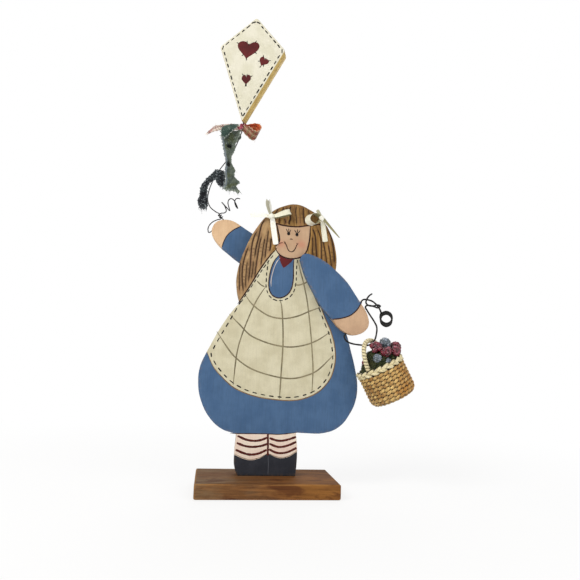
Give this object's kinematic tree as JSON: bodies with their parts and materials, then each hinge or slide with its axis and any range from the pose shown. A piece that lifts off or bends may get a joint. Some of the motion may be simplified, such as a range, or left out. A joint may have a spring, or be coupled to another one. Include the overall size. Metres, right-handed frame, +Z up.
{
  "type": "wooden figurine",
  "caption": "Painted scroll-sawn wooden doll on a plank, holding up a kite on a curled wire and a small woven basket on a second wire.",
  "frame": {"origin": "middle of the plank's underside, on the surface that the figurine stands on", "axes": "+X to the viewer's right along the plank, -Y towards the viewer (the painted side), +Z up"},
  "size_m": [0.2014, 0.068, 0.4399],
  "materials": {
    "walnut_stain": "walnut-stained pine plank, satin, grain showing, eased edges rubbed paler",
    "zinc_steel": "zinc-plated wood screws",
    "dress_blue": "sawn board, hand painted in matt dusty blue with cream apron, tan face, burned and stained brown hair, cream stockings and black shoes",
    "sleeve_paint": "sawn board, matt dusty-blue sleeve and tan hand with a dark line at the hem",
    "kite_paint": "sawn board with matt cream face, black stitch dashes and dark-red hearts, bare ochre edges",
    "black_wire": "annealed black iron wire, satin",
    "plaid_cloth": "torn orange, pink and dark-red plaid cotton",
    "green_cloth": "torn grey-green cotton with loose threads",
    "navy_cloth": "torn black-navy cotton with loose threads",
    "straw": "woven golden straw and cane, dark between the weavers",
    "pale_straw": "pale cream raffia, braided and wrapped",
    "moss": "dried dark-green moss, tufted and dry",
    "red_berry": "dull crimson berries with a fine pebbled skin",
    "grey_berry": "pale blue-grey berries with a fine pebbled skin",
    "ribbon": "cream-white satin ribbon, olive in its folds"
  },
  "bodies": {
    "figure": {"base_plank": "walnut_stain", "base_screw_left": "zinc_steel", "base_screw_right": "zinc_steel", "body_board": "dress_blue", "lowered_arm": "sleeve_paint", "raised_arm": "sleeve_paint", "left_hair_bow": "ribbon", "right_hair_bow": "ribbon"},
    "kite": {"kite_board": "kite_paint", "kite_wire": "black_wire", "kite_rag_plaid": "plaid_cloth", "kite_rag_green": "green_cloth", "kite_rag_navy": "navy_cloth"},
    "basket_hanger": {"basket_wire": "black_wire"},
    "basket": {"basket_bowl": "straw", "basket_rim": "pale_straw", "basket_handle": "pale_straw", "basket_moss": "moss", "berry_red_top": "red_berry", "berry_red_front": "red_berry", "berry_red_middle": "red_berry", "berry_red_right": "red_berry", "berry_red_back": "red_berry", "berry_red_rear": "red_berry", "berry_grey_top": "grey_berry", "berry_grey_front": "grey_berry", "berry_grey_low": "grey_berry", "berry_grey_back": "grey_berry"}
  },
  "joints": [
    {"name": "kite_swivel", "type": "hinge", "parent": "figure", "child": "kite", "pos_m": [-0.0524, 0.0162, 0.2363], "axis": [0.6713, 0, 0.7412], "range_deg": [-15, 15]},
    {"name": "basket_wire_swing", "type": "hinge", "parent": "figure", "child": "basket_hanger", "pos_m": [0.0748, -0.0035, 0.1538], "axis": [0.4215, 0, 0.9068], "range_deg": [-75, 0]},
    {"name": "basket_tilt", "type": "hinge", "parent": "basket_hanger", "child": "basket", "pos_m": [0.08705, -0.009, 0.13326], "axis": [-0.6977, -0.6157, -0.3663], "range_deg": [0, 30]}
  ]
}
